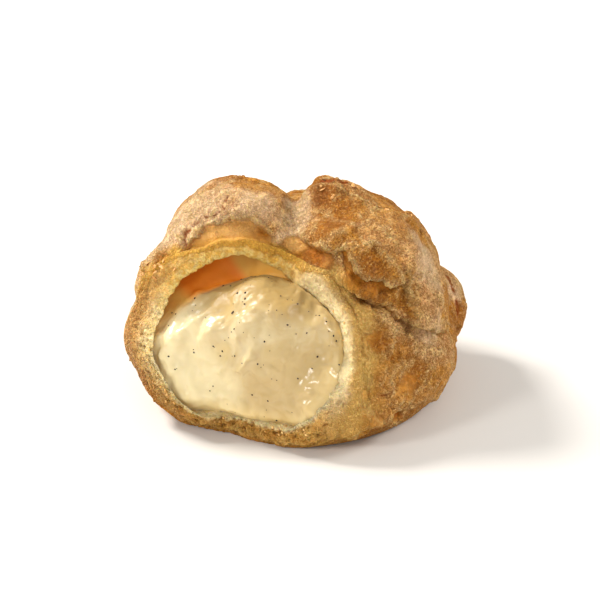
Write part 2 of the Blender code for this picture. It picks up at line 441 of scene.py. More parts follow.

# %% [markdown]
# ## The shell
#
# The rows of the shell's ball are closer together near the tear, where the relief is
# finest.  Each point first goes to the smooth form, and is then pushed along its normal.
# The same masks that shape the relief are kept as attributes on the mesh, so that the
# finish can brown some patches, pale the crests with a partly painted highlight, darken
# the cracks with painted shade and leave the torn parts pale.

# %% Rows of the shell, and values for each hour of its torn edge
CLOCK_STEPS = 455
CRUST_ROWS = 156
EDGE_ROWS = 36
HOLLOW_ROWS = 24
CRUMB_REACH = (0, 0, 0, 0, 1.5, 4.5, 1, 4, 7, 5, 1.5, 0)
SKIN_SHARE = (0.42, 0.32, 0.25, 0.4, 0.45, 0.15, 0.1, 0.2, 0.35, 0.35, 0.22, 0.36)
EDGE_TINT = (1, 1, 1, 1, 1, 0.6, 0, 0, 0, 0.45, 0.9, 1)
EDGE_FADE = (3.5, 2.8, 6.5, 10, 9, 5, 0.5, 0.5, 0.5, 3.5, 5, 2.5)
LIP = (0.6, 1.4, 2, 2.2, 1.8, 0.9, 0.3, 0.2, 0.6, 0.9, 0.9, 0.6)


def torn(clock, size, shift):
    """Uneven wobble of a torn edge, by clock angle."""
    ring = np.stack([np.cos(clock), np.sin(clock), np.full_like(clock, shift)], axis=1)
    return grain(ring, size, octaves=6)


def smooth_shell(clock, row):
    """The shell's points before its relief, in mm, and what part each point is on."""
    outer = np.radians(by_the_clock(clock, OUTER) + torn(clock, 0.2, 3))
    inner = by_the_clock(clock, INNER) - by_the_clock(clock, CRUMB_REACH)
    inner = np.radians(inner + 1.1 * torn(clock, 0.12, 8))
    forward = np.clip(row / CRUST_ROWS, 0, 1)
    forward = forward * (1.6 - 0.6 * forward)
    away = math.pi + (outer - math.pi) * forward
    rays = direction(clock, away)
    crust = HEART + rays * to_crust(rays)[:, None]

    back = np.clip((row - CRUST_ROWS - EDGE_ROWS) / HOLLOW_ROWS, 0, 1)
    back = back * (0.45 + 0.55 * back)
    rays = direction(clock, inner + (math.pi - inner) * back)
    hollow = HEART + rays * to_hollow(rays)[:, None]

    across = np.clip((row - CRUST_ROWS) / EDGE_ROWS, 0, 1)
    lip = by_the_clock(clock, LIP) * np.sin(math.pi * across)
    rim = crust + (hollow - crust) * across[:, None]
    rim = rim + direction(clock, (outer + inner) / 4) * lip[:, None]

    points = np.where(across[:, None] <= 0, crust, np.where(across[:, None] >= 1, hollow, rim))
    past_edge = np.degrees(away - outer)
    return points, across, past_edge


# %% Relief of the crust that is drawn
def drawn_relief(points, normals):
    """Cracks, folds, raised edges, pits and smooth places, with masks for the finish."""
    height = np.zeros(len(points))
    drop = np.zeros(len(points))
    masks = {name: np.zeros(len(points)) for name in ("dark", "smooth", "gold", "raised", "lip")}
    wander = push(points, 3, 3, 21)
    bent = points + 0.9 * wander + 0.35 * push(points, 1.3, 2, 24)

    for path, step, fall, reach, smooth_band in OVERHANGS:
        gap, above = near_path(bent, normals, path)
        past_ends = gap - np.abs(above)
        far = 3.2 * reach
        near = fade(gap, far, 2 * reach) * fade(past_ends, 2.2, 0.4)
        height += step * near * fade(above, -0.2, 0.25) * fade(above, far, 0)
        drop += fall * near * bell(above - 0.9, reach / 2.4)
        masks["raised"] += near * bell(above - 0.6, 0.7)
        masks["lip"] += near * bell(above - 0.3, 0.45)
        if smooth_band:
            under = fade(above, 0.1, -0.4) * fade(above, -1.2 * smooth_band, -0.8 * smooth_band)
            under *= fade(past_ends, 2.6, 0.8)
            masks["smooth"] += under
            masks["gold"] += under
            height -= 0.7 * under
    for path, tall, width in RAISED:
        gap, _ = near_path(bent, normals, path)
        ridge = bell(gap, width)
        height += tall * ridge
        masks["raised"] += ridge ** 1.4
    for path, deep, width, how_dark in GROOVES:
        gap, _ = near_path(bent, normals, path)
        groove = bell(gap, width)
        height -= deep * groove
        masks["dark"] += how_dark * groove
    for centre, radius, deep, how_dark in PITS:
        pit = bell((gap_to(points + 1.2 * wander, centre) / radius) ** 2, 1)
        height -= deep * pit
        masks["dark"] += how_dark * pit
        masks["smooth"] += pit
        masks["gold"] += (1 - how_dark) * pit
    for centre, radius, deep in SMOOTH:
        place = bell((gap_to(points + 2.2 * wander, centre) / radius) ** 1.6, 1)
        height -= deep * place
        masks["smooth"] += 0.8 * place
        masks["gold"] += 0.5 * place
    for centre, radius, deep in DENTS:
        height -= deep * bell(gap_to(points + 1.5 * wander, centre), radius)
    return height, drop, {name: np.clip(mask, 0, 1) for name, mask in masks.items()}


def patches(points, spots):
    """A mask of soft-edged patches."""
    wander = grain(points, 6, shift=14)
    mask = np.zeros(len(points))
    for centre, radius in spots:
        gap = gap_to(points, centre) * (1 + 0.35 * wander)
        mask = np.maximum(mask, fade(gap, 1.25 * radius, 0.55 * radius))
    return mask


# %% Plates of skin
PLATE_GAP = 8.5
TRIES = 6000
TILT = 0.1


def more_plates(points):
    """The drawn plates, chance ones spaced out over the rest of the crust, and their tilts."""
    luck = np.random.default_rng(7)
    centres, levels, tints = (list(column) for column in zip(*PLATES))
    for point in points[luck.permutation(len(points))[:TRIES]]:
        if np.min(gap_to(np.array(centres), point)) > PLATE_GAP:
            centres.append(point)
            levels.append(luck.normal(0, 0.25))
            tints.append(luck.uniform(-0.7, 0.6))
    tilts = luck.normal(0, TILT, (len(centres), 3))
    return np.array(centres), np.array(levels), np.array(tints), tilts


def plates_at(points, warp):
    """Distance to the plate's border in mm, its level there and its tint, blended at the border."""
    centres, levels, tints, tilts = more_plates(points)
    bent = points + 1.6 * warp
    apart = np.linalg.norm(bent[:, None, :] - centres[None, :, :], axis=2)
    nearest, second = np.argsort(apart, axis=1)[:, :2].T
    rows = np.arange(len(points))
    gap = (apart[rows, second] - apart[rows, nearest]) / 2
    other = 0.5 * np.exp(-gap / 0.9)
    level = 0
    tint = 0
    for plate, share in ((nearest, 1 - other), (second, other)):
        slope = np.sum(tilts[plate] * (bent - centres[plate]), axis=1)
        level = level + share * (levels[plate] + slope)
        tint = tint + share * tints[plate]
    return gap, level, tint


# %% Relief of the crust that is left to chance
def chance_relief(points, smooth, raised):
    """Broad lumps, plates of skin at uneven levels, flakes, wrinkles and pits."""
    calm = 1 - 0.95 * smooth
    height = 0.45 * grain(points, 14, 3)
    warp = push(points, 4.5, 4, 1)
    crumpled = patches(points, CRUMPLED)
    gap, level, tint = plates_at(points, warp)
    seam = np.exp(-gap / 1.3)
    height += 0.8 * level + calm * (0.1 + 0.3 * crumpled) * (seam - 0.35)
    flake_border, flake_level = plates_of(points + 1.2 * warp, 2.8, shift=4)
    height += calm * (0.10 + 0.5 * raised) * (flake_level - 0.5) * fade(flake_border, 0, 0.16)
    wrinkle = ridges(points * (1, 1, 1.4), 1.7)
    height += calm * (0.10 + 0.12 * raised) * (wrinkle - 1)
    fold = ridges(points + 0.8 * warp, 6, 2, shift=40) * crumpled
    height += 0.5 * fold - 0.55 * crumpled
    return height, {"tint": tint, "seam": seam, "wrinkle": wrinkle, "fold": fold, "crumpled": crumpled}


# %% Relief of the torn edge
def torn_relief(points, clock, across):
    """The torn crumb is a foam: pits with thin walls between, coarse along the base."""
    coarse = hours(clock, 6, 2.4)
    porous = hours(clock, 6.6, 3.2)
    layered = hours(clock, 8.6, 1.9)
    lumps = grain(points, 3, 4, shift=6)
    warp = 0.5 * lumps[:, None]
    pore, size = plates_of(points + warp, 1.5, shift=9)
    tiny, tiny_size = plates_of(points + warp, 0.9, shift=2)
    hole = fade(pore, 0.12, 0.42) * fade(size, 0.35, 0.65)
    tiny_hole = fade(tiny, 0.15, 0.45) * fade(tiny_size, 0.25, 0.6)
    on_edge = fade(across, 0, 0.12) * fade(across, 1, 0.9)
    height = -on_edge * (0.2 + 0.7 * porous) * hole - on_edge * (0.12 + 0.45 * porous) * tiny_hole
    height += (0.35 + 0.35 * coarse) * lumps * on_edge + 0.25 * on_edge
    layers = np.sin(math.tau * (3.5 * across + 0.6 * lumps))
    height += 0.35 * layered * layers * fade(across, 0.7, 0.45) * fade(across, 0, 0.1)
    share = by_the_clock(clock, SKIN_SHARE) + 0.12 * lumps
    blur = 0.06 + 0.16 * hours(clock, 3.2, 2.2)
    skin = 1 - fade(across, share - blur, share + blur)
    deep = np.maximum(hole, 0.6 * tiny_hole) * (0.12 + 0.3 * porous + 0.6 * coarse)
    return height, {"coarse": coarse, "porous": porous * on_edge, "layered": layered, "skin": skin,
                    "deep": deep * on_edge}


# %% Put the shell together
THINNEST = 1.2  # of the wall, where the relief digs in


def soft_floor(height, lowest):
    """Keep a height above a lowest value, without a sharp stop."""
    return lowest + np.logaddexp(0, (height - lowest) * 4) / 4


def spread(values, where):
    """Values of some points, with 0 at all the others."""
    whole = np.zeros(len(where))
    whole[where] = values
    return whole


def build_shell():
    mesh, clock, row = ball("choux", CLOCK_STEPS, CRUST_ROWS + EDGE_ROWS + HOLLOW_ROWS)
    points, across, past_edge = smooth_shell(clock, row)
    move_points(mesh, points)
    normals = normals_of(mesh)

    is_crust = across <= 0
    on_crust = points[is_crust]
    drawn, drop, masks = drawn_relief(on_crust, normals[is_crust])
    loose, chance_masks = chance_relief(on_crust, masks["smooth"], masks["raised"])
    masks |= chance_masks
    masks["pale"] = patches(on_crust, PALE_AND_LIT)
    masks["brown"] = patches(on_crust, BROWNED_AND_SHADED)
    lies_flat = fade(on_crust[:, 2], 0.2, 2)
    near_edge = fade(past_edge[is_crust], 0, 1) * lies_flat
    height = np.zeros(len(points))
    from_heart = on_crust - HEART
    from_heart /= np.linalg.norm(from_heart, axis=1)[:, None]
    wall = WALL * np.sum(from_heart * normals[is_crust], axis=1)
    lowest = np.minimum(THINNEST - wall, -0.3)
    height[is_crust] = soft_floor(drawn + loose - 0.5, lowest) * near_edge
    points[is_crust, 2] -= drop * near_edge
    height[~is_crust], torn_masks = torn_relief(points[~is_crust], clock[~is_crust], across[~is_crust])

    masks = {name: spread(values, is_crust) for name, values in masks.items()}
    masks |= {name: spread(values, ~is_crust) for name, values in torn_masks.items()}
    masks["skin"][is_crust] = 1
    # painted light: the skin on the torn edge is paler round ten o'clock, where the left side is lit
    masks["pale"][~is_crust] = 0.5 * hours(clock[~is_crust], 9.7, 2.2)
    masks["across"] = across
    # inside and glow: painted light on the hollow's roof round eleven o'clock, lighter, and orange where
    # light glows through the thin crust
    masks["inside"] = fade(across, 0.96, 1) * hours(clock, 10.9, 2.6)
    masks["glow"] = masks["inside"] * hours(clock, 10.1, 0.7)
    # cream and amber: partly painted light, creamy where the right side of the torn edge is lit and
    # saturated amber where its top lies in shade
    masks["cream"] = hours(clock, 3, 2.8)
    masks["amber"] = hours(clock, 11.2, 2.2)
    # by_edge: the crust is paler near the torn edge, partly real and partly painted light
    wander = spread(0.45 * grain(on_crust, 6, 4, shift=33), is_crust)
    reach = np.maximum(by_the_clock(clock, EDGE_FADE), 0.5)
    by_edge = np.where(is_crust, fade(past_edge / reach + wander, 1.5, 0), 1)
    masks["by_edge"] = by_edge * by_the_clock(clock, EDGE_TINT)

    points += normals * height[:, None]
    points = np.clip(points, *SHELL_BOX)
    move_points(mesh, points)
    keep_masks(mesh, masks)
    return mesh, points, clock, row


shell_mesh, shell_at, shell_clock, shell_row = build_shell()
shell_normals = normals_of(shell_mesh)
print("shell points:", len(shell_mesh.vertices))

# %% [markdown]
# ## The custard
#
# Pastry cream is a soft heap with a wet skin.  It fills the hollow and bulges a little at
# the tear, with the strokes of the spoon still in it.  It is a second ball round the same
# heart, and it reaches just into the shell's wall, so that no gap shows between them.

# %% Rows of the custard
CUSTARD_STEPS = 400
FRONT_ROWS = 150
BACK_ROWS = 44
BULGE = 30
POCKET_END = math.radians(110)
INTO_WALL = 0.3
RIM_LIFT = 1.3
STROKE_LIFT = 1.3
LUMPS = [  # (centre, radius, height) of the larger lumps
    ((-31, -18, 25), 2.8, 2.4), ((-27, -19, 31), 2.4, 1.4), ((-22, -22, 29), 3, 1.9),
    ((5, -32, 14), 1.6, 1.2), ((-13, -26, 31), 4, 0.8), ((-3, -25, 34), 4, 0.7),
    ((-13, -28, 19), 4.5, 0.7), ((1, -30, 26), 3, 0.6), ((7, -33, 18), 2.4, 1),
]
DIPS = [
    ((-8, -27, 26), 3, 0.9), ((-19, -24, 24), 3.4, 0.9), ((2, -25, 34), 2.5, 0.7),
    ((-27, -20, 22), 2.6, 0.7), ((-18, -20, 33), 2.6, 0.6), ((0, -31, 20), 3.2, 0.6),
]
STROKES = [  # (path, height, width) of ridges the spoon left
    ([(-14, -27, 21), (-12.5, -28, 24), (-9.5, -28, 29)], 0.8, 1.1),
    ([(-10, -25, 36), (-7, -26, 34.5), (-5, -27.5, 31)], 0.8, 1.1),
    ([(-25, -20, 25), (-22, -21, 28), (-19, -21, 31)], 0.7, 1.2),
    ([(-21, -24, 19), (-17, -25, 24), (-15, -26, 28)], 0.6, 1),
    ([(-29, -18, 27), (-26, -18, 30), (-22, -18, 33)], 0.6, 1),
    ([(-6, -29, 21), (-3, -29, 25), (-1, -29, 29)], 0.4, 1.2),
    ([(-9, -29, 13), (-4, -31, 15), (1, -32, 17)], 0.5, 1.2),
]


def custard_relief(points, normals):
    """Spoon strokes and lumps: long soft waves that run down to the left."""
    stroke = np.array((0.55, -0.15, 0.85))
    stroke /= np.linalg.norm(stroke)
    warp = push(points, 9, 3, 4)
    bent = points + 3 * warp
    squashed = bent - 0.6 * (bent @ stroke)[:, None] * stroke
    height = 0.45 * grain(squashed, 3.6, 2, 1.3, shift=2)
    height += 0.6 * np.abs(grain(squashed, 6, 1, 1, shift=31))
    height += 0.35 * grain(points, 11, 2, 1, shift=8)
    for centre, radius, tall in LUMPS:
        height += tall * bell(gap_to(points + warp, centre), radius)
    for centre, radius, deep in DIPS:
        height -= deep * bell(gap_to(points + warp, centre), radius)
    for path, tall, width in STROKES:
        gap, _ = near_path(points + 1.2 * warp, normals, path)
        height += STROKE_LIFT * tall * bell(gap, width)
    return height - 0.3


def build_custard():
    mesh, clock, row = ball("custard", CUSTARD_STEPS, FRONT_ROWS + BACK_ROWS)
    inner = np.radians(by_the_clock(clock, INNER))
    back = np.clip(row / BACK_ROWS, 0, 1)
    back = back * (1.5 - 0.5 * back)
    front = np.clip((row - BACK_ROWS) / FRONT_ROWS, 0, 1)
    away = (math.pi + (inner - math.pi) * back) * (1 - front)
    to_edge = away / inner
    rays = direction(clock, away)
    to_middle = 1 - np.clip(to_edge, 0, 1) ** 3
    at_edge = to_hollow(direction(clock, inner))
    bulged = at_edge + (BULGE - at_edge) * to_middle
    reach = np.where(away < inner, bulged, to_hollow(rays))
    to_end = fade(away, inner, POCKET_END)
    short = np.maximum(by_the_clock(clock, SHORT), 0) * (1 - to_middle) * (1 - to_end)
    points = HEART + rays * (reach + INTO_WALL * (1 - to_middle) - short)[:, None]
    move_points(mesh, points)
    normals = normals_of(mesh)
    in_pocket = hours(clock, 10.8, 2.2)
    under_roof = hours(clock, 10.8, 2.4)
    shows = fade(away, inner * (1.1 + 0.4 * in_pocket), inner * 0.93)
    at_rim = fade(np.abs(to_edge - 0.88), 0.2, 0.04) * (1 - under_roof)
    at_rim *= RIM_LIFT * (0.8 + 0.7 * grain(points, 5, 2, shift=12))
    height = (custard_relief(points, normals) + at_rim) * shows
    points += normals * height[:, None]
    move_points(mesh, points)
    set_back = fade(to_edge, 0.84, 1)
    keep_masks(mesh, {
        "height": height,
        # pocket: painted glow, orange where light through the thin crust would light the hollow under the
        # roof
        "pocket": set_back * hours(clock, 10.1, 0.7),
        # terrace: painted shade on the custard under the roof
        "terrace": set_back * under_roof,
        # low: darker towards the bottom, painted shade
        "low": fade(to_edge, 0.1, 0.6) * hours(clock, 5, 2.8),
        "lit": fade(to_edge, 0.3, 0.7) * hours(clock, 7.9, 1.9),
        "shade": fade(to_edge, 0.2, 0.6) * (1 - set_back) * hours(clock, 12, 3),
        # rim: painted light on the custard's edge, where it lies in shade inside the rim
        "rim": fade(to_edge, 0.8, 0.96) * (1 - under_roof),
    })
    return mesh, points, normals, to_edge


custard_mesh, custard_at, custard_normals, custard_away = build_custard()
print("custard points:", len(custard_mesh.vertices))

# %% [markdown]
# ## Vanilla seeds
#
# The seeds are up to half a millimetre long and sit in the skin of the custard.  Each is
# a small icosphere from `bmesh.ops.create_icosphere`, stretched and turned by chance.

# %% Scatter the seeds
SEEDS = 90
chance = np.random.default_rng(12)


def build_seeds():
    """Seeds on the part of the custard that shows, more of them towards its edge."""
    shape = bmesh.new()
    in_front = np.flatnonzero(custard_away < 0.97)
    weights = custard_away[in_front] + 0.05
    picks = chance.choice(in_front, SEEDS, replace=False, p=weights / weights.sum())
    for pick in picks:
        size = 0.10 + 0.16 * chance.random() ** 2
        turn = Matrix.Rotation(chance.uniform(0, math.tau), 4, Vector(custard_normals[pick]))
        stretch = Matrix.Diagonal((size * 1.3, size, size * 0.9, 1))
        place = Matrix.Translation(Vector(custard_at[pick] + custard_normals[pick] * 0.02))
        bmesh.ops.create_icosphere(shape, subdivisions=2, radius=1, matrix=place @ turn @ stretch)
    bmesh.ops.scale(shape, vec=(MM, MM, MM), verts=shape.verts)
    return mesh_of(shape, "vanilla_seeds")


seed_mesh = build_seeds()

# %% [markdown]
# ## Crumbs and flakes
#
# Tearing choux sheds crumbs, which stay on the torn edge, and lifts thin flakes of skin
# where a blister broke.  Both start as icospheres that are pushed about by noise, and a
# flake is also pressed flat and stood on edge.

# %% Scatter the crumbs and flakes
CRUMB_PLACES = [  # (clock hours, share across the torn edge, how many)
    (4.6, 0.75, 8), (5.3, 0.8, 6), (7.6, 0.7, 7), (8.6, 0.75, 7), (2.6, 0.7, 4), (6.4, 0.85, 4),
]
FLAKE_PLACES = [  # (centre, reach, how many), in millimetres
    ((-37, -10.5, 41.5), 3.6, 6), ((-33, -12, 42.5), 2.6, 4), ((12, -1, 58), 5, 6),
    ((24, -1, 52.5), 2.6, 4), ((31, 1, 46), 3, 4),
]
UNEVEN = 0.25  # push on a bit's surface, as a share of its size
noise.seed_set(12)


def near_points(points, normals, centre, reach, count):
    """A few chance points of a surface near a place, with their normals."""
    picks = chance.choice(np.flatnonzero(gap_to(points, centre) < reach), count, replace=False)
    return list(zip(points[picks], normals[picks]))


def build_bits(name, spots, sizes, stretch, upright):
    """Small uneven lumps at spots of a surface, with the range of their sizes in millimetres."""
    shape = bmesh.new()
    for point, normal in spots:
        size = chance.uniform(*sizes)
        aim = Vector(normal).to_track_quat("Z", "Y").to_matrix().to_4x4()
        spin = Matrix.Rotation(chance.uniform(0, math.tau), 4, "Z")
        tip = Matrix.Rotation(chance.uniform(0.5, 1) * upright, 4, "X")
        place = Matrix.Translation(Vector(point + normal * 0.1 * size))
        matrix = place @ aim @ spin @ tip @ Matrix.Diagonal((*(np.array(stretch) * size), 1))
        lump = bmesh.ops.create_icosphere(shape, subdivisions=2, radius=1, matrix=matrix)
        for vert in lump["verts"]:
            vert.co += UNEVEN * size * noise.noise_vector(vert.co / (0.9 * size))
    for vert in shape.verts:
        vert.co = Vector(np.clip(vert.co, *SHELL_BOX)) * MM
    return mesh_of(shape, name)


def torn_spots():
    """Places on the torn edge at the wanted hours."""
    spots = []
    across = (shell_row - CRUST_ROWS) / EDGE_ROWS
    hour = hour_of(shell_clock)
    for wanted, share, count in CRUMB_PLACES:
        close = (np.abs(hour - wanted) < 0.4) & (np.abs(across - share) < 0.2)
        picks = chance.choice(np.flatnonzero(close), count, replace=False)
        spots += list(zip(shell_at[picks], shell_normals[picks]))
    return spots


crumb_mesh = build_bits("crumbs", torn_spots(), (0.2, 0.45), (1, 0.8, 0.7), 0)
flake_spots = [spot for place in FLAKE_PLACES for spot in near_points(shell_at, shell_normals, *place)]
flake_mesh = build_bits("flakes", flake_spots, (0.5, 0.95), (1, 0.6, 0.12), 0.8)
print(len(CRUMB_PLACES), "groups of crumbs and", len(flake_spots), "flakes")

# %% [markdown]
# ## Writing finishes as sums
#
# A finish mixes many masks, which as nodes is a web and as Python is a line of sums.  One
# small class stands for a socket, and adds a Math node for each operator used on it.

# %% Sockets that can be added up
class Wire:
    """One value in a finish, so that sums with it add Math nodes."""

    def __init__(self, finish, socket):
        self.finish = finish
        self.socket = socket

    def maths(self, operation, *values):
        return self.finish.add("Math", 0, dict(enumerate(values)), operation=operation)

    def __add__(self, other):
        return self.maths("ADD", self, other)

    def __sub__(self, other):
        return self.maths("SUBTRACT", self, other)

    def __rsub__(self, other):
        return self.maths("SUBTRACT", other, self)

    def __mul__(self, other):
        return self.maths("MULTIPLY", self, other)

    def step(self, zero_at, one_at):
        """A smooth step from 0 to 1 between two values."""
        inputs = {"Value": self, "From Min": zero_at, "From Max": one_at}
        return self.finish.add("MapRange", 0, inputs, interpolation_type="SMOOTHSTEP")

    def near(self, middle, width):
        """1 where the value is the middle one, 0 from a width away."""
        return self.maths("ABSOLUTE", self - middle).step(width, 0)

    def most(self, other):
        return self.maths("MAXIMUM", self, other)

    __radd__ = __add__
    __rmul__ = __mul__


class Finish:
    """A material with one Principled shader, and the methods that feed it."""

    def __init__(self, name):
        self.material = bpy.data.materials.new(name)
        self.material.use_nodes = True
        self.tree = self.material.node_tree
        self.shader = self.tree.nodes["Principled BSDF"]
        self.place = self.add("TexCoord", "Object")

    def add(self, kind, output, inputs=None, **settings):
        """Add a node: its settings first, then the values or links of its sockets."""
        node = self.tree.nodes.new("ShaderNode" + kind)
        for name, value in settings.items():
            setattr(node, name, value)
        for name, value in (inputs or {}).items():
            self.feed(node.inputs[name], value)
        return Wire(self, node.outputs[output])

    def feed(self, socket, value):
        if isinstance(value, Wire):
            self.tree.links.new(value.socket, socket)
        else:
            socket.default_value = value

    def set(self, **values):
        for name, value in values.items():
            self.feed(self.shader.inputs[name.replace("_", " ")], value)

    def mask(self, name):
        return self.add("Attribute", "Fac", attribute_name=name)

    def noise(self, size, detail, place=None):
        """Soft noise with lumps of a size in millimetres."""
        inputs = {"Vector": place or self.place, "Scale": 1 / (size * MM), "Detail": detail}
        return self.add("TexNoise", 0, inputs)

    def cells(self, size, place):
        """Distance to the nearest border of a net of cells."""
        inputs = {"Vector": place, "Scale": 1 / (size * MM)}
        return self.add("TexVoronoi", "Distance", inputs, feature="DISTANCE_TO_EDGE")

    def blend(self, amount, *colours):
        """One colour mixed into another: each a wire, or red, green and blue."""
        first, second = (colour if isinstance(colour, Wire) else linear(colour) for colour in colours)
        return self.add("Mix", 2, {0: amount, 6: first, 7: second}, data_type="RGBA")

    def coats(self, ground, layers):
        """A ground colour with others laid over it in turn, each by its own amount."""
        for amount, colour in layers:
            ground = self.blend(amount, ground, colour)
        return ground

    def bent(self, size, reach):
        """The place on the piece, pushed about by noise."""
        push = self.add("TexNoise", "Color", {"Vector": self.place, "Scale": 1 / (size * MM)})
        middle = self.add("VectorMath", 0, {0: push, 1: (0.5, 0.5, 0.5)}, operation="SUBTRACT")
        far = self.add("VectorMath", 0, {0: middle, "Scale": reach * MM}, operation="SCALE")
        return self.add("VectorMath", 0, {0: self.place, 1: far}, operation="ADD")

    def relief(self, height, strength, depth):
        inputs = {"Height": height, "Strength": strength, "Distance": depth * MM}
        self.set(Normal=self.add("Bump", "Normal", inputs))


def linear(colour):
    """Red, green and blue as a screen shows them, from 0 to 255, as a shader wants them."""
    parts = [part / 255 for part in colour]
    return (*(p / 12.92 if p <= 0.04045 else ((p + 0.055) / 1.055) ** 2.4 for p in parts), 1)


# %% [markdown]
# ## The crust's finish
#
# Baked choux is pale tan where it stretched late and brown where it faced the heat.  Its
# skin is dry and crackled, with dark specks in the hollows of the grain and pale flakes on
# the crests; the dark in the hollows, cracks and pits is partly painted shade, and the pale
# crests, glints and lit patches are partly painted light.  Where it tore, the crumb is pale
# yellow, and along the base it is brown.

# %% Crust
def skin_colour(finish, smooth, pits, lines):
    """Colour of the baked skin: plates of tan and brown, pale seams, dark pits, with painted shade in the
    hollows and painted highlight on the crests.
    """
    mask = finish.mask
    fold, tint, pale, by_edge = (mask(name) for name in ("fold", "tint", "pale", "by_edge"))
    middle = finish.noise(2.5, 4)
    dry = 1 - smooth * 0.75
    broken = finish.noise(3.2, 2).step(0.38, 0.6)
    # ridge: pale seams and crests, partly real and partly painted highlight
    ridge = mask("raised") * (0.3 + broken * 0.6)
    ridge = ridge.most(mask("seam").step(0.35, 1) * 0.6 * broken).most(fold.step(1.1, 1.9) * 0.7)
    # painted glints: bright flecks that stand for light caught by the fine grain
    painted_glints = finish.noise(0.7, 2).step(0.56, 0.66) * dry * (1 - pale * 0.6)
    # hollow: darker in the pits and lines of the grain, real dark specks and painted shade
    hollow = (pits * 0.66).most(lines * 0.66) * (1 - pale * 0.4) * dry
    # gold: smooth golden skin, darkened further as painted shade where it lies under the roll and the folds
    gold = finish.blend(middle.step(0.35, 0.65), (174, 106, 10), (150, 84, 4))
    gold = finish.blend(pale * 0.85, gold, (236, 172, 78))
    # lit_edge: partly painted light, cream on the lit right and amber on the shaded top
    lit_edge = finish.blend(mask("cream"), (240, 190, 98), (238, 192, 106))
    lit_edge = finish.blend(mask("amber"), lit_edge, (238, 180, 70))
    ground = finish.blend(finish.noise(9, 4).step(0.35, 0.65), (222, 153, 56), (202, 130, 36))
    return finish.coats(ground, [
        (tint.step(0.1, -1) * 0.55, (164, 92, 20)),
        (tint.step(-0.2, 1) * 0.75, (242, 192, 132)),
        # pale patches: paler skin, partly painted light in the shaded cleft and on the lit left side
        (pale * 0.84, (255, 216, 166)),
        # darker in the hollows of the crumpled folds: partly painted shade
        (mask("crumpled") * fold.step(1, 0.4) * 0.35, (190, 114, 30)),
        (middle.step(0.42, 0.62) * dry * 0.18, (172, 104, 34)),
        # pale crests of ridges, seams and wrinkles: partly painted highlight
        (ridge * dry, (250, 208, 138)),
        (mask("wrinkle").step(1, 1.7) * dry * 0.25, (244, 198, 126)),
        # painted glints on the grain, brighter on the crests
        (painted_glints * (0.22 + ridge * 0.5), (255, 216, 142)),
        # painted shade in the hollows of the grain, over real dark specks
        (hollow, (150, 80, 12)),
        # paler near the torn edge: partly painted light
        (by_edge.step(0, 0.6) * 0.5, (222, 160, 66)),
        (by_edge.step(0.4, 1) * 0.85, lit_edge),
        (hollow * by_edge * 0.6, (206, 140, 48)),
        # golden smooth skin, partly painted shade under the roll and the folds
        (mask("gold").step(0.1, 0.9) * 0.8, gold),
        # brown patches: browned skin, and painted shade in the dimple under the roll
        (mask("brown") * 0.62, (160, 90, 16)),
        # lip: painted highlight along the edges of the folds and cracks
        (mask("lip").step(0.2, 0.9) * 0.35, (240, 188, 110)),
        # dark: painted shade inside the cracks, grooves and pits
        (mask("dark").step(0.15, 0.8), (160, 76, 8)),
    ])


def crumb_colour(finish, pores):
    """Colour of the torn crumb: pale up the sides, brown and porous along the base, with painted light on
    the lit right, and painted shade on the top and in the pores.
    """
    mask = finish.mask
    across = mask("across")
    coarse = mask("coarse")
    soft = finish.noise(3, 4).step(0.35, 0.65)
    amber = finish.blend(finish.noise(1.3, 3).step(0.38, 0.6), (255, 214, 122), (236, 176, 56))
    base = finish.blend(soft, (238, 184, 98), (214, 152, 66))
    ground = finish.blend(soft, (255, 228, 168), (250, 212, 140))
    return finish.coats(ground, [
        # cream on the lit right and amber on the shaded top: partly painted light and shade
        (mask("cream") * 0.75, (255, 231, 178)),
        (mask("amber") * 0.8, amber),
        (across.step(0.75, 0.3) * 0.35, (226, 172, 84)),
        (coarse * across.step(0.98, 0.8), base),
        (coarse * across.step(0.3, 0.08) * 0.7, (176, 104, 36)),
        (mask("layered") * across.step(1, 0.4) * 0.85, (208, 154, 82)),
        # darker in the pores and deep holes: painted shade
        (pores * mask("porous") * 0.4, (172, 110, 34)),
        (mask("deep") * 0.7, (152, 90, 22)),
    ])


def crust_finish():
    finish = Finish("baked_choux")
    mask = finish.mask
    fine = finish.noise(0.8, 3)
    wander = finish.noise(1, 2, finish.bent(1, 0.5))
    wander_two = finish.noise(0.7, 2, finish.bent(0.9, 0.4))
    lines = wander.near(0.5, 0.04).most(wander_two.near(0.5, 0.05) * 0.8)
    lines = lines * finish.noise(2.5, 1).step(0.25, 0.55)
    pits = finish.noise(0.5, 2).step(0.55, 0.63)
    smooth = mask("smooth").step(0.25, 0.8)
    pores = finish.cells(1, finish.bent(1.2, 0.5)).step(0.08, 0.3)
    pores = pores * finish.noise(1.4, 1).step(0.4, 0.55)
    # roof: painted light on the hollow's wall, orange where it glows through the crust
    roof = finish.blend(mask("glow"), (252, 204, 110), (244, 150, 44))
    surface = finish.coats(crumb_colour(finish, pores), [
        (mask("skin"), skin_colour(finish, smooth, pits, lines)),
        (mask("inside"), roof),
    ])
    finish.set(Base_Color=surface, Roughness=0.64 + fine * 0.2 - smooth * 0.12)
    finish.set(Subsurface_Weight=0.2, Subsurface_Scale=0.0025, Subsurface_Radius=(1, 0.5, 0.15))
    finish.set(IOR=1.4, Specular_IOR_Level=0.3)
    torn_skin = mask("raised").most(mask("seam") * 0.6).most(mask("crumpled") * 0.5)
    coarse_grit = finish.noise(1.5, 3, finish.bent(1.5, 0.8)) * (0.5 + torn_skin * 1.2)
    grit = fine * 0.9 - lines * 0.26 - pits * 0.24 + coarse_grit
    grit = grit * (1.1 - smooth * 0.75) * (0.4 + mask("skin").most(mask("coarse")) * 0.6)
    finish.relief(grit - pores * mask("porous") * 0.5, 1, 1.85)
    return finish.material


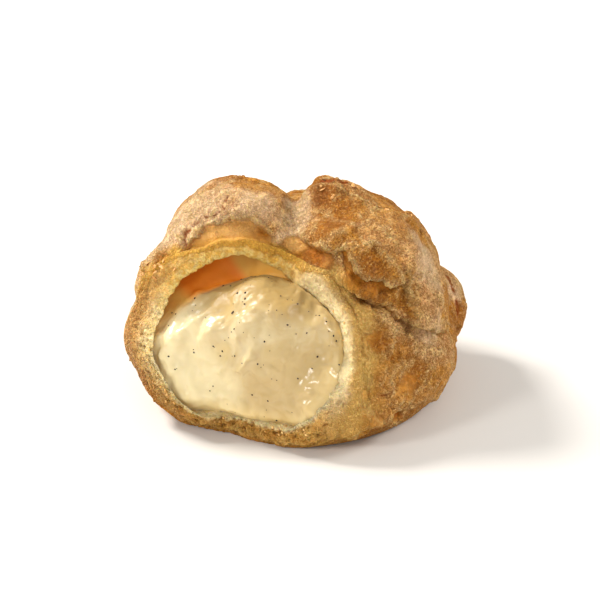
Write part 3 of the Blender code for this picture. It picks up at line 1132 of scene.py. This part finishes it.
# %% Custard and the small pieces
def custard_finish():
    finish = Finish("custard")
    mask = finish.mask
    pocket, terrace, shade = (mask(name) for name in ("pocket", "terrace", "shade"))
    broad = finish.noise(7, 3)
    ground = finish.blend(broad.step(0.35, 0.65), (217, 198, 154), (207, 183, 134))
    base = finish.coats(ground, [
        # darker in the dips of the custard: painted shade
        (mask("height").step(0.1, -1) * 0.5, (218, 188, 120)),
        # low: painted shade towards the bottom
        (mask("low") * 0.85, (196, 168, 114)),
        (shade * 0.95, (178, 146, 86)),
        (mask("lit") * 0.8, (238, 222, 176)),
        # rim: painted light at the custard's edge
        (mask("rim") * 0.45, (244, 216, 150)),
        # terrace: painted shade under the roof, with a painted glow
        (terrace * 0.85, (234, 182, 72)),
        # pocket: painted glow of light through the crust, standing in for the hollow's wall
        (pocket * 0.95, (240, 138, 34)),
    ])
    # glow: emission that paints light shining through the crust into the pocket and onto the terrace; no
    # lamp is there
    glow = finish.coats((0, 0, 0), [(terrace * 0.6, (214, 150, 50)), (pocket, (188, 96, 14))])
    finish.set(Base_Color=base, Roughness=0.15 + shade * 0.2 + terrace * 0.35 + broad * 0.14)
    finish.set(Emission_Color=glow, Emission_Strength=0.14, IOR=1.42)
    finish.set(Subsurface_Weight=0.3, Subsurface_Scale=0.003, Subsurface_Radius=(1, 0.8, 0.4))
    finish.relief(finish.noise(2.4, 1), 0.3, 0.3)
    return finish.material


def bit_finish(name, roughness, lumps, grit, light, dark):
    """The finish of crumbs or flakes: two browns in soft lumps, and a fine grit."""
    finish = Finish(name)
    brown = finish.blend(finish.noise(lumps, 2).step(0.35, 0.65), light, dark)
    finish.set(Base_Color=brown, Roughness=roughness)
    finish.relief(finish.noise(grit, 2), 0.8, 0.3)
    return finish.material


def seed_finish():
    finish = Finish("vanilla_seed")
    shade = finish.blend(finish.noise(0.6, 1), (38, 24, 14), (72, 48, 26))
    finish.set(Base_Color=shade, Roughness=0.4)
    return finish.material


crumb_brown = bit_finish("loose_crumb", 0.75, 1, 0.4, (238, 196, 124), (214, 154, 72))
flake_brown = bit_finish("loose_flake", 0.6, 1.2, 0.5, (236, 184, 114), (206, 140, 66))
shell = add_piece("choux", shell_mesh, crust_finish())
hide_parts("choux_shell")
custard = add_piece("custard", custard_mesh, custard_finish())
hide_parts("custard_filling")
add_piece("vanilla_seeds", seed_mesh, seed_finish())
add_piece("crumbs", crumb_mesh, crumb_brown)
add_piece("flakes", flake_mesh, flake_brown)

# %% [markdown]
# ## Floor, light and camera
#
# Food is lit softly from behind and to one side, so that the crust's relief shows and the
# custard catches the light.  A large area lamp does that, with three weaker ones and a
# pale sky all round.

# %% Floor
FLOOR = 2  # metres
floor_shape = bmesh.new()
bmesh.ops.create_grid(floor_shape, x_segments=1, y_segments=1, size=FLOOR)
floor = add_object("floor", mesh_of(floor_shape, "floor"))
plain = Finish("floor")
plain.set(Base_Color=linear((226, 222, 216)), Roughness=0.6)
floor.data.materials.append(plain.material)


# %% Lamps
AIM_AT = Vector((0, 0, 0.025))


def area_lamp(name, place, size, power, tint):
    """A round lamp that looks at the middle of the puff."""
    lamp = bpy.data.lights.new(name, "AREA")
    lamp.shape = "DISK"
    lamp.size = size
    lamp.energy = power
    lamp.color = tint
    holder = add_object(name, lamp)
    holder.location = place
    holder.rotation_euler = (AIM_AT - Vector(place)).to_track_quat("-Z", "Y").to_euler()


area_lamp("key", (-0.50, 0.30, 0.64), 0.26, 8.8, (1, 0.985, 0.96))
area_lamp("window", (-0.80, -0.48, 0.48), 0.24, 4.3, (1, 0.99, 0.98))
area_lamp("right", (0.75, 0.02, 0.50), 0.30, 4.6, (1, 0.985, 0.96))
area_lamp("fill", (0.20, -0.85, 0.60), 0.7, 2.1, (1, 0.99, 0.98))
world = bpy.data.worlds.new("pale_sky")
world.use_nodes = True
bpy.context.scene.world = world
sky = world.node_tree.nodes["Background"].inputs
sky["Color"].default_value = (1, 0.99, 0.97, 1)
sky["Strength"].default_value = 0.41
bpy.context.scene.view_settings.view_transform = "Standard"

# %% Camera
LOOK_AT = Vector((0.0008, -0.0038, 0.0276))
RISE = math.radians(26.1)
LEAN = math.radians(-2.6)
DISTANCE = 0.548
camera = bpy.data.cameras.new("camera")
camera.lens = 126
camera.sensor_width = 36
camera.clip_start = 0.01
eye = add_object("camera", camera)
back = Vector((0, -math.cos(RISE), math.sin(RISE)))
turned = back.to_track_quat("Z", "Y").to_matrix() @ Matrix.Rotation(LEAN, 3, "Z")
eye.matrix_world = Matrix.Translation(LOOK_AT + back * DISTANCE) @ turned.to_4x4()
bpy.context.scene.camera = eye
